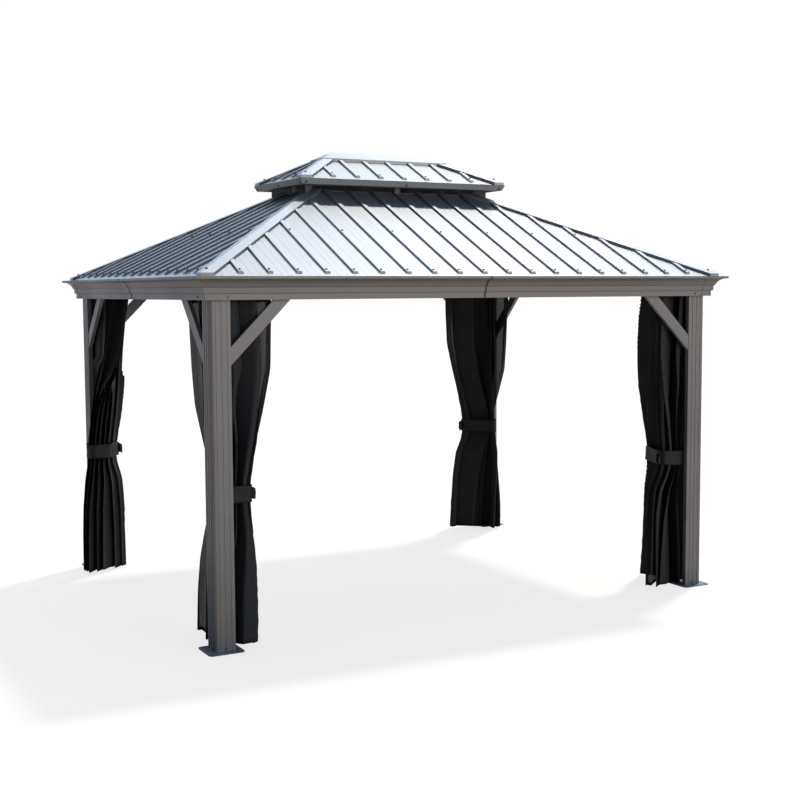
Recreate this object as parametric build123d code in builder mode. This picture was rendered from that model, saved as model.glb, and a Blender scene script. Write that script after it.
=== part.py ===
from build123d import *
import math
import os

# Eave: overall sizes at the moulding's top lip
eave_length = 3660
eave_width = 2882
eave_height = 2062
roof_slope_share = 0.48

# Eave beams with their crown moulding, and the mitred caps at the corners
beam_height = 128
beam_body = 66
moulding_projection = 79
lip_width = 44
cap_length = 78
cap_proud = 2
seam_gap = 3
band_top_shares = (0, 0.26)
bead_foot_shares = (0.13, 0.285)
bead_head_shares = (0.15, 0.52)
hollow_foot_shares = (0.25, 0.56)
hollow_middle_shares = (0.45, 0.77)
hollow_head_shares = (0.92, 0.885)
lip_foot_shares = (1, 0.89)

# Corner posts: L-shaped extrusions with shallow flutes on the two outer faces
post_setback = 36
post_face = 118
post_wall = 30
post_inner_radius = 18
flute_width = 12
flute_depth = 2
flute_place_shares = (0.22, 0.5, 0.78)

# Base plates and their anchor holes
plate_size = 208
plate_thickness = 6
plate_overhang = 50
plate_corner_radius = 24
anchor_spacing = 158
anchor_hole_radius = 6

# Knee braces
brace_reach = 356
brace_width = 70
brace_thickness = 24
brace_inset = 3

# Ribbed sheet and the caps over its hips
sheet_thickness = 4
sheet_clearance = 0.5
rib_pitch = 172
rib_margin = 200
rib_height = 14
rib_foot = 40
rib_crown = 26
rib_setback = 30
hip_gap = 3
hip_cap_flange = 52
hip_cap_thickness = 4

# Rafters under the main roof
hip_rafter_width = 34
hip_rafter_depth = 50
rafter_width = 62
rafter_depth = 40

# Vent between the two roofs
throat_width = 440
curb_wall = 30
curb_height = 3
curb_drop = 50
ring_width = 570
ring_end_trim = 52
ring_depth = 35
corner_leg_run = 60
corner_leg_thickness = 18
leg_width = 35
leg_thickness = 20
leg_foot_setback = 10
leg_top_inset = 8
joint_gap = 0.5

# Upper roof
upper_overhang = 113
upper_lift = 66
upper_lip = 6
fascia_height = 37
fascia_lean = 16
fascia_depth = 46
ridge_flange = 105
ridge_lap = 30
ridge_cap_thickness = 4
ridge_bar_width = 30
ridge_bar_depth = 45
ridge_bar_drop = 30
upper_rafter_depth = 40

# Curtain rails, gathered netting and its ties
rail_width = 18
rail_height = 22
rail_lift = 24
netting_setback = 40
netting_clearance = 0.3
netting_chamfer = 40
netting_hem = 20
netting_top_long_reach = 390
netting_top_short_reach = 480
netting_tie_reach = 255
netting_bottom_long_reach = 330
netting_bottom_short_reach = 410
tie_height = 865
tie_band = 96
tie_thickness = 4

# One overrun serves every cut
overrun = 100

# Places worked out from the sizes above
half_length = eave_length / 2
half_width = eave_width / 2
beam_bottom = eave_height - beam_height
band_x = half_length - moulding_projection
band_y = half_width - moulding_projection
inner_x = band_x - beam_body
inner_y = band_y - beam_body
post_x = band_x - post_setback
post_y = band_y - post_setback
throat_length = throat_width + eave_length - eave_width
throat_run = half_width - lip_width - throat_width / 2
throat_height = eave_height + throat_run * roof_slope_share
hip_slope_share = roof_slope_share / math.sqrt(2)
cap_underside = rib_height + sheet_clearance
cap_crest = cap_underside + hip_cap_thickness
curb_top = throat_height + curb_height
curb_bottom = throat_height - sheet_thickness - curb_drop
ring_length = ring_width + eave_length - eave_width - ring_end_trim
upper_length = ring_length + 2 * upper_overhang
upper_width = ring_width + 2 * upper_overhang
upper_height = throat_height + upper_lift
upper_run = upper_width / 2 - upper_lip
fascia_seat = upper_height - sheet_thickness
ring_bottom = fascia_seat + (upper_run - ring_width / 2) * roof_slope_share - ring_depth

up = Vector(0, 0, 1)
outwards = {
    "front": Vector(0, -1, 0),
    "right": Vector(1, 0, 0),
    "back": Vector(0, 1, 0),
    "left": Vector(-1, 0, 0),
}
corners = {
    "front_left": (-1, -1),
    "front_right": (1, -1),
    "back_right": (1, 1),
    "back_left": (-1, 1),
}


def along(side):
    """Direction along a side, to the right as seen from outside."""
    return up.cross(outwards[side])


def depth_and_span(side, length, width):
    """How far a side lies from the middle, and half its own length."""
    if side in ("front", "back"):
        return width / 2, length / 2
    return length / 2, width / 2


def section_plane(side, place=0):
    """Upright plane across a side: x runs outwards from the middle, y runs up."""
    return Plane(along(side) * place, x_dir=outwards[side], z_dir=outwards[side].cross(up))


def face_plane(side, depth):
    """Upright plane along a side: x runs along it, y runs up."""
    return Plane(outwards[side] * depth, x_dir=along(side), z_dir=outwards[side])


def corner_plane(corner, x, y, height):
    """Level plane at a corner whose two axes both run inwards along the sides."""
    east, north = corners[corner]
    inward = Vector(-east, 0, 0) if east == north else Vector(0, -north, 0)
    return Plane((east * x, north * y, height), x_dir=inward, z_dir=up)


def hip_plane(side, end, depth, span, clearance):
    """Upright plane through a hip, facing away from the slope at that end of the side."""
    facing = (along(side) * end - outwards[side]).normalized()
    foot = outwards[side] * depth + along(side) * (end * span)
    return Plane(foot - facing * clearance, z_dir=facing)


def slope_direction(side):
    """Direction up a slope, one unit of plan run long."""
    return up * roof_slope_share - outwards[side]


def slope_length(run):
    """Length along a slope for a run in plan."""
    return run * math.hypot(1, roof_slope_share)


def beam_section(side, depth, place, inset):
    """Crown-moulded section of an eave beam, with a sloping top that carries the roof sheet."""
    band = depth - moulding_projection
    lip_inner = depth - lip_width
    seat = eave_height - sheet_thickness

    def point(shares):
        return (
            band - inset + moulding_projection * shares[0],
            beam_bottom + beam_height * shares[1],
        )

    with BuildSketch(section_plane(side, place)) as section:
        with BuildLine():
            Polyline(
                (band - beam_body, beam_bottom),
                (band - inset, beam_bottom),
                point(band_top_shares),
                point(bead_foot_shares),
                point(bead_head_shares),
                point(hollow_foot_shares),
            )
            ThreePointArc(
                point(hollow_foot_shares),
                point(hollow_middle_shares),
                point(hollow_head_shares),
            )
            Polyline(
                point(hollow_head_shares),
                point(lip_foot_shares),
                (depth - inset, eave_height),
                (lip_inner, eave_height),
                (lip_inner, seat),
                (band - beam_body, seat + (lip_inner - band + beam_body) * roof_slope_share),
                (band - beam_body, beam_bottom),
            )
        make_face()
    return section.sketch


def rib_places(span, height):
    """Where the ribs stand along a slope, from the middle outwards."""
    rib_count = int((span - rib_margin) / rib_pitch)
    return [(rib_pitch * step, height) for step in range(-rib_count, rib_count + 1)]


def flat_sheet_section(side, depth, span, height):
    """Section of the flat sheet at its lower edge."""
    with BuildSketch(face_plane(side, depth)) as section:
        with Locations((0, height)):
            Rectangle(2 * span, sheet_thickness, align=(Align.CENTER, Align.MAX))
    return section.sketch


def rib_section(side, depth, span, height, wall):
    """Section of all the ribs of a slope, shrunk by a wall for their hollows or grown when it is negative."""
    with BuildSketch(face_plane(side, depth)) as section:
        with Locations(rib_places(span, height)):
            Polygon(
                (-rib_foot / 2 + wall, -wall),
                (-rib_crown / 2 + wall, rib_height - wall),
                (rib_crown / 2 - wall, rib_height - wall),
                (rib_foot / 2 - wall, -wall),
                align=None,
            )
    return section.sketch


def ribbed_slope(side, length, width, lip, height, run):
    """Folded sheet of one slope: flat pans between raised, hollow ribs with closed lower ends."""
    depth, span = depth_and_span(side, length, width)
    edge = depth - lip - sheet_clearance
    edge_height = height + sheet_clearance * roof_slope_share
    rib_end = edge_height + rib_setback * roof_slope_share
    hollow_end = rib_end + sheet_thickness * roof_slope_share
    upward = slope_direction(side)
    with BuildPart() as slope:
        sheet = flat_sheet_section(side, edge, span, edge_height)
        extrude(sheet, amount=slope_length(run), dir=upward)
        ribs = rib_section(side, edge - rib_setback, span, rib_end, 0)
        extrude(ribs, amount=slope_length(run - rib_setback), dir=upward)
        hollow_setback = rib_setback + sheet_thickness
        hollows = rib_section(side, edge - hollow_setback, span, hollow_end, sheet_thickness)
        extrude(hollows, amount=slope_length(run - hollow_setback), dir=upward, mode=Mode.SUBTRACT)
        split(bisect_by=hip_plane(side, 1, depth, span, hip_gap), keep=Keep.BOTTOM)
        split(bisect_by=hip_plane(side, -1, depth, span, hip_gap), keep=Keep.BOTTOM)
    return slope.part


def hip_section(corner, length, width, height, points):
    """Section across a hip: x runs sideways from the hip line, y runs up."""
    east, north = corners[corner]
    outward = Vector(east, north, 0).normalized()
    foot = Vector(east * length / 2, north * width / 2, height)
    with BuildSketch(Plane(foot, x_dir=up.cross(outward), z_dir=outward)) as section:
        Polygon(*points, align=None)
    return section.sketch


def hip_direction(corner):
    """Direction up a hip, one unit of plan run long on each axis."""
    east, north = corners[corner]
    return Vector(-east, -north, roof_slope_share)


def hip_length(run):
    """Length along a hip for a run in plan across either slope."""
    return run * math.sqrt(2 + roof_slope_share ** 2)


def cap_profile(flange, bottom, top):
    """Section of a hip cap between two levels above the sheet, falling away on both sides."""
    fall = flange * hip_slope_share
    return [
        (0, bottom),
        (-flange, bottom - fall),
        (-flange, top - fall),
        (0, top),
        (flange, top - fall),
        (flange, bottom - fall),
    ]


def rib_room(side, length, width, lip, height, run):
    """The ribs of a slope with a little room round them, for the notches of the caps that cross them."""
    depth, span = depth_and_span(side, length, width)
    setback = sheet_clearance + rib_setback
    foot = height + setback * roof_slope_share
    with BuildPart() as room:
        ribs = rib_section(side, depth - lip - setback, span, foot, -sheet_clearance / 2)
        extrude(ribs, amount=slope_length(run - setback), dir=slope_direction(side))
        split(bisect_by=hip_plane(side, 1, depth, span, hip_gap), keep=Keep.BOTTOM)
        split(bisect_by=hip_plane(side, -1, depth, span, hip_gap), keep=Keep.BOTTOM)
    return room.part


def hip_caps(length, width, lip, height, run, top_length, top_width):
    """Caps over the four hips of a roof: bent sheet with turned-down edges and closed ends."""
    edge_length = length - 2 * lip
    edge_width = width - 2 * lip
    tall = 2 * (height + run)
    inner_flange = hip_cap_flange - hip_cap_thickness
    with BuildPart() as hollows:
        for corner in corners:
            points = cap_profile(inner_flange, 0, cap_underside)
            section = hip_section(corner, edge_length, edge_width, height, points)
            extrude(section, amount=hip_length(run + hip_cap_flange), dir=hip_direction(corner))
        inset = sheet_clearance + hip_cap_thickness
        Box(edge_length - 2 * inset, edge_width - 2 * inset, tall, mode=Mode.INTERSECT)
        Box(
            top_length + 2 * hip_cap_thickness,
            top_width + 2 * hip_cap_thickness,
            tall,
            mode=Mode.SUBTRACT,
        )
    rooms = [rib_room(side, length, width, lip, height, run) for side in outwards]
    with BuildPart() as caps:
        for corner in corners:
            points = cap_profile(hip_cap_flange, sheet_clearance, cap_crest)
            section = hip_section(corner, edge_length, edge_width, height, points)
            extrude(section, amount=hip_length(run + hip_cap_flange), dir=hip_direction(corner))
        Box(
            edge_length - 2 * sheet_clearance,
            edge_width - 2 * sheet_clearance,
            tall,
            mode=Mode.INTERSECT,
        )
        Box(top_length, top_width, tall, mode=Mode.SUBTRACT)
        add(hollows.part, mode=Mode.SUBTRACT)
        add(rooms, mode=Mode.SUBTRACT)
    return caps.part


def hipped_leaf(side, length, width, bottom, top):
    """One side of a hipped block over the ridge; the two levels are those at its lower edge."""
    depth, span = depth_and_span(side, length, width)
    with BuildPart() as leaf:
        with BuildSketch(face_plane(side, depth)):
            with Locations((0, bottom)):
                Rectangle(2 * span, top - bottom, align=(Align.CENTER, Align.MIN))
        extrude(amount=slope_length(width / 2), dir=slope_direction(side))
        split(bisect_by=hip_plane(side, 1, depth, span, 0), keep=Keep.BOTTOM)
        split(bisect_by=hip_plane(side, -1, depth, span, 0), keep=Keep.BOTTOM)
    return leaf.part


def mitred_bar(side, length, width, points):
    """One bar of a four-sided frame; each point is an inset from the frame's outer face and a height."""
    depth, span = depth_and_span(side, length, width)
    with BuildPart() as bar:
        with BuildSketch(section_plane(side)):
            Polygon(*[(depth - inset, height) for inset, height in points], align=None)
        extrude(amount=span, both=True)
        split(bisect_by=hip_plane(side, 1, depth, span, joint_gap / 2), keep=Keep.BOTTOM)
        split(bisect_by=hip_plane(side, -1, depth, span, joint_gap / 2), keep=Keep.BOTTOM)
    return bar.part


def netting_plan(corner, long_reach, short_reach, grow):
    """Plan of a gathered curtain in its corner: arms along the long and short rails, with blunt corners."""
    east, north = corners[corner]
    near = netting_setback - grow
    far_x, far_y = long_reach + grow, short_reach + grow
    if east != north:
        far_x, far_y = far_y, far_x
    return [
        (near + netting_chamfer, near),
        (far_x, near),
        (far_x, (near + far_y) / 2),
        ((near + far_x) / 2, far_y),
        (near, far_y),
        (near, near + netting_chamfer),
    ]


os.makedirs("parts", exist_ok=True)

# Base plates, each a rounded square with four anchor holes
for corner in corners:
    with BuildPart() as base_plate:
        with BuildSketch(corner_plane(corner, post_x + plate_overhang, post_y + plate_overhang, 0)):
            with Locations((plate_size / 2, plate_size / 2)):
                RectangleRounded(plate_size, plate_size, plate_corner_radius)
                with GridLocations(anchor_spacing, anchor_spacing, 2, 2):
                    Circle(anchor_hole_radius, mode=Mode.SUBTRACT)
        extrude(amount=plate_thickness)
    base_plate.part.label = f"base_plate_{corner}"
    export_step(base_plate.part, f"parts/base_plate_{corner}.step")

# Corner posts, standing on the plates and ending under the eave
for corner in corners:
    with BuildPart() as post:
        with BuildSketch(corner_plane(corner, post_x, post_y, plate_thickness)) as post_section:
            Rectangle(post_face, post_face, align=Align.MIN)
            with Locations((post_wall, post_wall)):
                Rectangle(post_face, post_face, align=Align.MIN, mode=Mode.SUBTRACT)
            inner_vertex = post_section.vertices().sort_by_distance(
                post_section.workplanes[0].from_local_coords((post_wall, post_wall))
            )[0]
            fillet(inner_vertex, post_inner_radius)
            with Locations([(post_face * share, 0) for share in flute_place_shares]):
                Rectangle(flute_width, 2 * flute_depth, mode=Mode.SUBTRACT)
            with Locations([(0, post_face * share) for share in flute_place_shares]):
                Rectangle(2 * flute_depth, flute_width, mode=Mode.SUBTRACT)
        extrude(amount=beam_bottom - plate_thickness)
    post.part.label = f"post_{corner}"
    export_step(post.part, f"parts/post_{corner}.step")

# Knee braces, a pair at each post, from the post's edges to the beams' undersides
for corner, (east, north) in corners.items():
    brace_step = brace_width * math.sqrt(2)
    inward_x = Vector(-east, 0, 0)
    inward_y = Vector(0, -north, 0)
    with BuildPart() as braces:
        for run, depth in ((inward_x, inward_y), (inward_y, inward_x)):
            foot = Vector(east * post_x, north * post_y, beam_bottom)
            middle = foot + depth * (brace_inset + brace_thickness / 2)
            with BuildSketch(Plane(middle, x_dir=run, z_dir=run.cross(up))):
                Polygon(
                    (post_face, -brace_reach),
                    (post_face, -brace_reach + brace_step),
                    (post_face + brace_reach - brace_step, 0),
                    (post_face + brace_reach, 0),
                    align=None,
                )
            extrude(amount=brace_thickness / 2, both=True)
    braces.part.label = f"braces_{corner}"
    export_step(braces.part, f"parts/braces_{corner}.step")

# Eave beams, each in two halves with a seam at mid-side
for side in outwards:
    depth, span = depth_and_span(side, eave_length, eave_width)
    half_beam = span - moulding_projection - cap_length - seam_gap / 2
    with BuildPart() as eave_beam:
        for end in (-1, 1):
            section = beam_section(side, depth, end * seam_gap / 2, cap_proud)
            extrude(section, amount=half_beam, dir=along(side) * end)
    eave_beam.part.label = f"eave_beam_{side}"
    export_step(eave_beam.part, f"parts/eave_beam_{side}.step")

# Mitred corner caps that close the moulding
for corner, (east, north) in corners.items():
    long_side = corner.split("_")[0]
    start = Vector(east * (band_x - cap_length), north * band_y, beam_bottom)
    turn = Vector(east * band_x, north * band_y, beam_bottom)
    finish = Vector(east * band_x, north * (band_y - cap_length), beam_bottom)
    with BuildPart() as eave_corner:
        with BuildLine() as route:
            Polyline(start, turn, finish)
        section = beam_section(long_side, half_width, along(long_side).dot(start), 0)
        sweep(section, path=route.line, transition=Transition.RIGHT)
    eave_corner.part.label = f"eave_corner_{corner}"
    export_step(eave_corner.part, f"parts/eave_corner_{corner}.step")

# Hip rafters, from the eave's inner corners to the vent's curb
hip_rafter_side = hip_rafter_width / 2
hip_rafter_fall = hip_rafter_side * hip_slope_share
with BuildPart() as hip_rafters:
    for corner in corners:
        section = hip_section(
            corner,
            eave_length - 2 * lip_width,
            eave_width - 2 * lip_width,
            eave_height - sheet_thickness,
            [
                (0, 0),
                (-hip_rafter_side, -hip_rafter_fall),
                (-hip_rafter_side, -hip_rafter_depth),
                (hip_rafter_side, -hip_rafter_depth),
                (hip_rafter_side, -hip_rafter_fall),
            ],
        )
        extrude(section, amount=hip_length(throat_run + overrun), dir=hip_direction(corner))
    Box(2 * inner_x, 2 * inner_y, 2 * upper_height, mode=Mode.INTERSECT)
    Box(throat_length, throat_width, 2 * upper_height, mode=Mode.SUBTRACT)
hip_rafters.part.label = "hip_rafters"
export_step(hip_rafters.part, "parts/hip_rafters.step")

# Common rafters, under the middle rib of every side and two more on the long sides
rafter_room = throat_length / 2 - rafter_width / 2 - hip_rafter_width / math.sqrt(2)
rafter_steps = int(rafter_room / rib_pitch)
with BuildPart() as common_rafters:
    for side in outwards:
        beam_inner = depth_and_span(side, 2 * inner_x, 2 * inner_y)[0]
        rafter_top = eave_height - sheet_thickness
        rafter_top += (moulding_projection + beam_body - lip_width) * roof_slope_share
        run = beam_inner - depth_and_span(side, throat_length, throat_width)[0]
        steps = (-rafter_steps, 0, rafter_steps) if side in ("front", "back") else (0,)
        with BuildSketch(face_plane(side, beam_inner)):
            with Locations([(step * rib_pitch, rafter_top) for step in steps]):
                Rectangle(rafter_width, rafter_depth, align=(Align.CENTER, Align.MAX))
        extrude(amount=slope_length(run), dir=slope_direction(side))
common_rafters.part.label = "common_rafters"
export_step(common_rafters.part, "parts/common_rafters.step")

# Main roof slopes of ribbed sheet, cut at the hips
for side in outwards:
    throat_depth = depth_and_span(side, throat_length, throat_width)[0]
    run = depth_and_span(side, eave_length, eave_width)[0] - lip_width - sheet_clearance - throat_depth
    roof_slope = ribbed_slope(side, eave_length, eave_width, lip_width, eave_height, run)
    roof_slope.label = f"roof_slope_{side}"
    export_step(roof_slope, f"parts/roof_slope_{side}.step")

# Hip caps of the main roof, lying on the ribs
roof_hip_caps = hip_caps(
    eave_length, eave_width, lip_width, eave_height, throat_run, throat_length, throat_width
)
roof_hip_caps.label = "roof_hip_caps"
export_step(roof_hip_caps, "parts/roof_hip_caps.step")

# Curb bars round the vent's throat
curb_points = [(0, curb_bottom), (0, curb_top), (curb_wall, curb_top), (curb_wall, curb_bottom)]
curb_bars = [mitred_bar(side, throat_length, throat_width, curb_points) for side in outwards]
with BuildPart() as vent_curb:
    add(curb_bars)
vent_curb.part.label = "vent_curb"
export_step(vent_curb.part, "parts/vent_curb.step")

# Legs of the vent: plates that stand on the hip caps, and leaning bars on the middle ribs
with BuildPart() as vent_legs:
    for corner, (east, north) in corners.items():
        inward = Vector(-east, -north, 0).normalized()
        foot = Vector(east * (half_length - lip_width), north * (half_width - lip_width), eave_height)
        far_run = half_width - lip_width - ring_width / 2 + corner_leg_run
        far = far_run * math.sqrt(2)
        near = (far_run - corner_leg_run) * math.sqrt(2)
        with BuildSketch(Plane(foot, x_dir=inward, z_dir=inward.cross(up))):
            Polygon(
                (near, cap_crest + near * hip_slope_share),
                (far, cap_crest + far * hip_slope_share),
                (far, ring_bottom - eave_height),
                (near, ring_bottom - eave_height),
                align=None,
            )
        extrude(amount=corner_leg_thickness / 2, both=True)
    for side in outwards:
        leg_foot = depth_and_span(side, throat_length, throat_width)[0] + leg_foot_setback
        leg_top = depth_and_span(side, ring_length, ring_width)[0] - leg_top_inset
        crown = throat_height + rib_height - leg_foot_setback * roof_slope_share
        with BuildSketch(section_plane(side)):
            Polygon(
                (leg_foot, crown),
                (leg_foot + leg_thickness, crown - leg_thickness * roof_slope_share),
                (leg_top, ring_bottom),
                (leg_top - leg_thickness, ring_bottom),
                align=None,
            )
        extrude(amount=leg_width / 2, both=True)
vent_legs.part.label = "vent_legs"
export_step(vent_legs.part, "parts/vent_legs.step")

# Ring bars on the legs, with sloping tops that carry the upper roof
ring_points = [
    (0, ring_bottom),
    (0, ring_bottom + ring_depth),
    (curb_wall, ring_bottom + ring_depth + curb_wall * roof_slope_share),
    (curb_wall, ring_bottom),
]
ring_bars = [mitred_bar(side, ring_length, ring_width, ring_points) for side in outwards]
with BuildPart() as upper_ring:
    add(ring_bars)
upper_ring.part.label = "upper_ring"
export_step(upper_ring.part, "parts/upper_ring.step")

# Fascia of the upper roof, leaning inwards under the sheet's edge
fascia_points = [
    (0, upper_height),
    (upper_lip, upper_height),
    (upper_lip, fascia_seat),
    (fascia_depth, fascia_seat + (fascia_depth - upper_lip) * roof_slope_share),
    (fascia_depth, upper_height - fascia_height),
    (fascia_lean, upper_height - fascia_height),
]
fascia_bars = [mitred_bar(side, upper_length, upper_width, fascia_points) for side in outwards]
with BuildPart() as upper_fascia:
    add(fascia_bars)
upper_fascia.part.label = "upper_fascia"
export_step(upper_fascia.part, "parts/upper_fascia.step")

# Ridge bar of the upper roof and the short hip rafters that meet it
ridge_half = (upper_length - upper_width) / 2
ridge_bar_top = fascia_seat + upper_run * roof_slope_share - ridge_bar_drop
ridge_bar_length = 2 * (ridge_half + ridge_bar_width / 2 + hip_rafter_width / math.sqrt(2))
with BuildPart() as ridge_bar:
    with Locations((0, 0, ridge_bar_top)):
        Box(
            ridge_bar_length,
            ridge_bar_width,
            ridge_bar_depth,
            align=(Align.CENTER, Align.CENTER, Align.MAX),
        )
ridge_bar.part.label = "ridge_bar"
export_step(ridge_bar.part, "parts/ridge_bar.step")

with BuildPart() as upper_rafters:
    for corner in corners:
        section = hip_section(
            corner,
            upper_length - 2 * upper_lip,
            upper_width - 2 * upper_lip,
            fascia_seat,
            [
                (0, 0),
                (-hip_rafter_side, -hip_rafter_fall),
                (-hip_rafter_side, -upper_rafter_depth),
                (hip_rafter_side, -upper_rafter_depth),
                (hip_rafter_side, -hip_rafter_fall),
            ],
        )
        extrude(section, amount=hip_length(upper_run), dir=hip_direction(corner))
    Box(
        ring_length - 2 * curb_wall,
        ring_width - 2 * curb_wall,
        2 * (upper_height + overrun + upper_run),
        mode=Mode.INTERSECT,
    )
    Box(upper_length, ridge_bar_width, 2 * (upper_height + upper_run), mode=Mode.SUBTRACT)
upper_rafters.part.label = "upper_rafters"
export_step(upper_rafters.part, "parts/upper_rafters.step")

# Upper roof slopes of the same ribbed sheet
for side in outwards:
    run = upper_run - hip_gap
    upper_slope = ribbed_slope(side, upper_length, upper_width, upper_lip, upper_height, run)
    upper_slope.label = f"upper_slope_{side}"
    export_step(upper_slope, f"parts/upper_slope_{side}.step")

# Hip caps of the upper roof, ending under the ridge cap
ridge_cover = ridge_flange - ridge_lap
upper_hip_caps = hip_caps(
    upper_length,
    upper_width,
    upper_lip,
    upper_height,
    upper_run - hip_cap_flange,
    2 * (ridge_half + ridge_cover),
    2 * ridge_cover,
)
upper_hip_caps.label = "upper_hip_caps"
export_step(upper_hip_caps, "parts/upper_hip_caps.step")

# Ridge cap, a small hipped shell over the ends of the hip caps, its edges turned down and notched
ridge_cap_pan = upper_height + (upper_run - ridge_flange) * roof_slope_share
ridge_cap_underside = cap_crest + sheet_clearance
ridge_cap_length = 2 * (ridge_half + ridge_flange)
hollow_pan = ridge_cap_pan + ridge_cap_thickness * roof_slope_share
ridge_hollows = [
    hipped_leaf(
        side,
        ridge_cap_length - 2 * ridge_cap_thickness,
        2 * (ridge_flange - ridge_cap_thickness),
        hollow_pan,
        hollow_pan + ridge_cap_underside,
    )
    for side in outwards
]
ridge_leaves = [
    hipped_leaf(
        side,
        ridge_cap_length,
        2 * ridge_flange,
        ridge_cap_pan + sheet_clearance,
        ridge_cap_pan + ridge_cap_underside + ridge_cap_thickness,
    )
    for side in outwards
]
upper_rib_rooms = [
    rib_room(side, upper_length, upper_width, upper_lip, upper_height, upper_run) for side in outwards
]
with BuildPart() as hip_cap_room:
    for corner in corners:
        section = hip_section(
            corner,
            upper_length - 2 * upper_lip,
            upper_width - 2 * upper_lip,
            upper_height,
            cap_profile(hip_cap_flange + sheet_clearance, 0, cap_crest + sheet_clearance / 2),
        )
        covered_run = upper_run - ridge_cover + hip_cap_flange
        extrude(section, amount=hip_length(covered_run), dir=hip_direction(corner))
with BuildPart() as ridge_cap:
    add(ridge_leaves)
    add(ridge_hollows, mode=Mode.SUBTRACT)
    add(upper_rib_rooms, mode=Mode.SUBTRACT)
    add(hip_cap_room.part, mode=Mode.SUBTRACT)
ridge_cap.part.label = "ridge_cap"
export_step(ridge_cap.part, "parts/ridge_cap.step")

# Curtain rails on the beams' inner faces
rail_bottom = beam_bottom + rail_lift
rail_points = [
    (0, rail_bottom),
    (0, rail_bottom + rail_height),
    (rail_width, rail_bottom + rail_height),
    (rail_width, rail_bottom),
]
rail_bars = [mitred_bar(side, 2 * inner_x, 2 * inner_y, rail_points) for side in outwards]
with BuildPart() as curtain_rails:
    add(rail_bars)
curtain_rails.part.label = "curtain_rails"
export_step(curtain_rails.part, "parts/curtain_rails.step")

# Netting curtains, gathered in the corners and drawn in at the tie
netting_levels = [
    (netting_hem, netting_bottom_long_reach, netting_bottom_short_reach),
    (tie_height - tie_band / 2, netting_tie_reach, netting_tie_reach),
    (tie_height + tie_band / 2, netting_tie_reach, netting_tie_reach),
    (rail_bottom - netting_clearance, netting_top_long_reach, netting_top_short_reach),
]
for corner in corners:
    with BuildPart() as curtain:
        for height, long_reach, short_reach in netting_levels:
            with BuildSketch(corner_plane(corner, post_x, post_y, height)):
                Polygon(*netting_plan(corner, long_reach, short_reach, 0), align=None)
        loft(ruled=True)
    curtain.part.label = f"curtain_{corner}"
    export_step(curtain.part, f"parts/curtain_{corner}.step")

# Bands that tie the curtains
with BuildPart() as curtain_ties:
    for corner in corners:
        tie_outside = netting_clearance + tie_thickness
        outer_plan = netting_plan(corner, netting_tie_reach, netting_tie_reach, tie_outside)
        inner_plan = netting_plan(corner, netting_tie_reach, netting_tie_reach, netting_clearance)
        with BuildSketch(corner_plane(corner, post_x, post_y, tie_height - tie_band / 2)):
            Polygon(*outer_plan, align=None)
            Polygon(*inner_plan, align=None, mode=Mode.SUBTRACT)
        extrude(amount=tie_band)
curtain_ties.part.label = "curtain_ties"
export_step(curtain_ties.part, "parts/curtain_ties.step")
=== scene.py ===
import math

import bpy
import numpy as np
from mathutils import Matrix, Vector


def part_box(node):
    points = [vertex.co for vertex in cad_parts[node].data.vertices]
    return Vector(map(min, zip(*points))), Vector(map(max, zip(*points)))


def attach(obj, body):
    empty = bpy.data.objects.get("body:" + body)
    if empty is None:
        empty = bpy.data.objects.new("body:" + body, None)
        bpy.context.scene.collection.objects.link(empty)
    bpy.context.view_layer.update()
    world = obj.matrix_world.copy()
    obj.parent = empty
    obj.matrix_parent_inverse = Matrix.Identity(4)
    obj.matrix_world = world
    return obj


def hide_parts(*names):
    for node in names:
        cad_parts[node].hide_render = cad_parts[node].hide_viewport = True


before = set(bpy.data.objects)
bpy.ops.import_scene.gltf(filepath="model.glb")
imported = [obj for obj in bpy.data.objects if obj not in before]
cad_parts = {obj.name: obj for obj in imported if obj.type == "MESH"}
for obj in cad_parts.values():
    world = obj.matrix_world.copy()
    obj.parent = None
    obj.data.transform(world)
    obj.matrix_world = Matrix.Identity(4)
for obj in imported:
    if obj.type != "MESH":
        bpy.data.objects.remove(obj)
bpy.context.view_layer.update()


# Base plates: four square feet of 6 mm steel with rounded corners and anchor holes.
# Each is welded under its post and bolted down through its holes, and it wears the
# same kind of powder coat as the frame, in a darker blue-grey.
corners = {"front_left": (-1, -1), "front_right": (1, -1), "back_right": (1, 1), "back_left": (-1, 1)}


def put(tree, kind, wires=(), **settings):
    """Adds a node to a tree; wires give its inputs, as values or as other nodes' outputs."""
    node = tree.nodes.new(kind)
    for key, value in settings.items():
        setattr(node, key, value)
    for key, value in dict(wires).items():
        if isinstance(value, bpy.types.NodeSocket):
            tree.links.new(value, node.inputs[key])
        else:
            node.inputs[key].default_value = value
    return node


def sockets(tree, inputs, outputs):
    """Names a node group's inputs and outputs, and adds its two end nodes."""
    for name, kind in inputs.items():
        tree.interface.new_socket(name, in_out="INPUT", socket_type="NodeSocket" + kind)
    for name, kind in outputs.items():
        tree.interface.new_socket(name, in_out="OUTPUT", socket_type="NodeSocket" + kind)
    return put(tree, "NodeGroupInput").outputs, put(tree, "NodeGroupOutput")


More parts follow.
